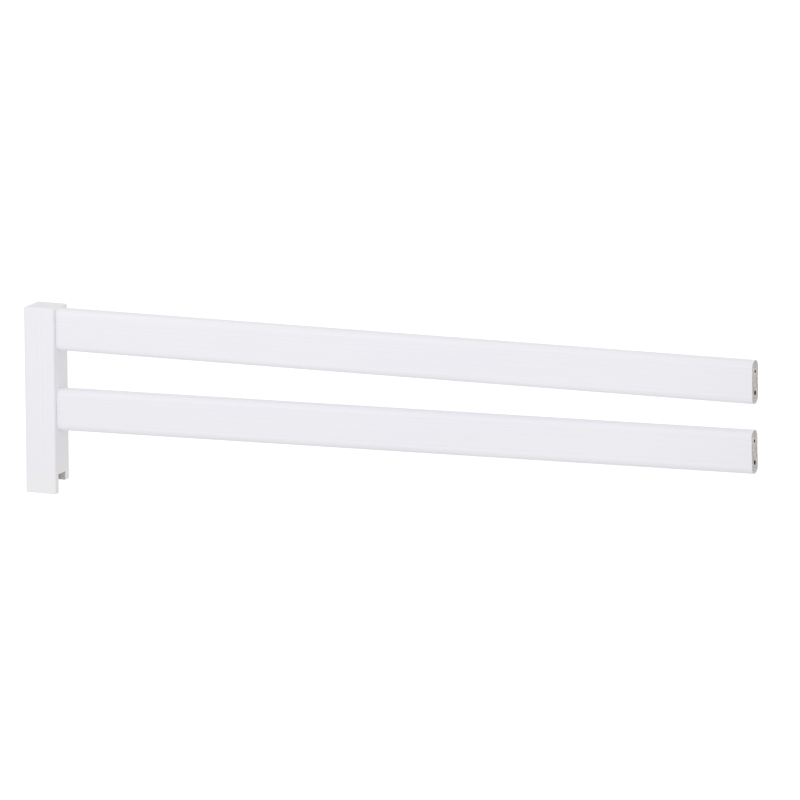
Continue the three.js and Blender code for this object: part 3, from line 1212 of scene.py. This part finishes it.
@dataclass(frozen=True)
class Softbox:
    """A large soft light ahead of the rails, with its place and size in metres."""

    place: tuple[float, float, float] = (0.342, -0.4, 0.322)
    aim: tuple[float, float, float] = (0.35, 0.0, 0.15)
    size: tuple[float, float] = (1.52, 0.35)
    watts: float = 0.349

    def build(self) -> None:
        """Hangs the light and turns it to its aim."""
        light = bpy.data.lights.new("key_softbox", "AREA")
        light.shape = "RECTANGLE"
        light.size, light.size_y = self.size
        light.energy = self.watts
        holder = bpy.data.objects.new("key_softbox", light)
        bpy.context.scene.collection.objects.link(holder)
        turn = (Vector(self.aim) - Vector(self.place)).to_track_quat("-Z", "Y")
        holder.matrix_world = Matrix.Translation(self.place) @ turn.to_matrix().to_4x4()
        holder.visible_camera = False


@dataclass(frozen=True)
class BrightPaper(Finish):
    """White paper, so brightly lit that it glows.

    To the eye it is an even white on which only the closest shadow shows.
    """

    title = "bright white paper"
    colour: str = "#5A5A5A"
    glow: float = 0.955
    roughness: float = 0.9

    def mix(self) -> None:
        """Mixes the paper."""
        glow = {"Emission Color": linear(WHITE), "Emission Strength": self.glow}
        self.close((), Roughness=self.roughness, **glow)


@dataclass(frozen=True)
class Floor:
    """The studio's paper floor, with its height and radius in metres."""

    height: float
    radius: float = 90.0
    sides: int = 64

    def build(self) -> None:
        """Lays the paper under the foot of the post."""
        bm = bmesh.new()
        level = Matrix.Translation((0.0, 0.0, self.height))
        bmesh.ops.create_circle(bm, cap_ends=True, radius=self.radius, segments=self.sides, matrix=level)
        mesh = bpy.data.meshes.new("studio_floor")
        bm.to_mesh(mesh)
        bm.free()
        mesh.materials.append(BrightPaper().material())
        floor = bpy.data.objects.new("studio_floor", mesh)
        bpy.context.scene.collection.objects.link(floor)
        floor.visible_diffuse = False
        floor.visible_glossy = False
        floor.visible_shadow = False


@dataclass(frozen=True)
class Viewpoint:
    """The photo's camera: far away, to the right of straight ahead and a little above."""

    focal_pixels: float = 7620.1
    heading: float = 23.042
    dip: float = 11.425
    roll: float = -0.288
    distance: float = 11396.2
    aim: tuple[float, float, float] = (585.88, 2.0, 154.99)
    # Nearest and furthest that it sees, in metres
    clip: tuple[float, float] = (0.1, 200.0)

    def build(self) -> None:
        """Sets the camera up."""
        camera = bpy.data.cameras.new("photo_camera")
        camera.sensor_fit = "HORIZONTAL"
        camera.sensor_width = SENSOR_MM
        camera.lens = self.focal_pixels * SENSOR_MM / IMAGE_PIXELS
        camera.clip_start, camera.clip_end = self.clip
        holder = bpy.data.objects.new("photo_camera", camera)
        bpy.context.scene.collection.objects.link(holder)
        view = Matrix.Translation(self.aim)
        for angle, axis in ((self.heading, "Z"), (90.0 - self.dip, "X"), (self.roll, "Z")):
            view = view @ Matrix.Rotation(math.radians(angle), 4, axis)
        view = view @ Matrix.Translation((0.0, 0.0, self.distance))
        view.translation *= MM
        holder.matrix_world = view
        bpy.context.scene.camera = holder


def main() -> None:
    """Loads the frame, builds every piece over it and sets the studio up."""
    logging.basicConfig(level=logging.INFO, format="%(name)s: %(message)s")
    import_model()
    joints = [Joint.read(level) for level in Level]
    upper, lower = joints
    Post("post", joints).build()
    Rail("upper_rail", upper).build()
    Rail("lower_rail", lower, rise=1.0, wood=Softwood(pith=(-30.0, -49.0), ring_spacing=2.5)).build()
    for level, joint in zip(Level, joints):
        FlutedDowel(f"{level.value}_dowel", joint).build()
        WoodScrew(f"{level.value}_screw", joint).build()
        CoverCap(f"{level.value}_cap", joint).build()
    low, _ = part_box("post")
    Floor(height=low.z).build()
    Tent().build()
    Softbox().build()
    Viewpoint().build()
    bpy.context.scene.view_settings.view_transform = "Standard"


if __name__ == "__main__":
    main()
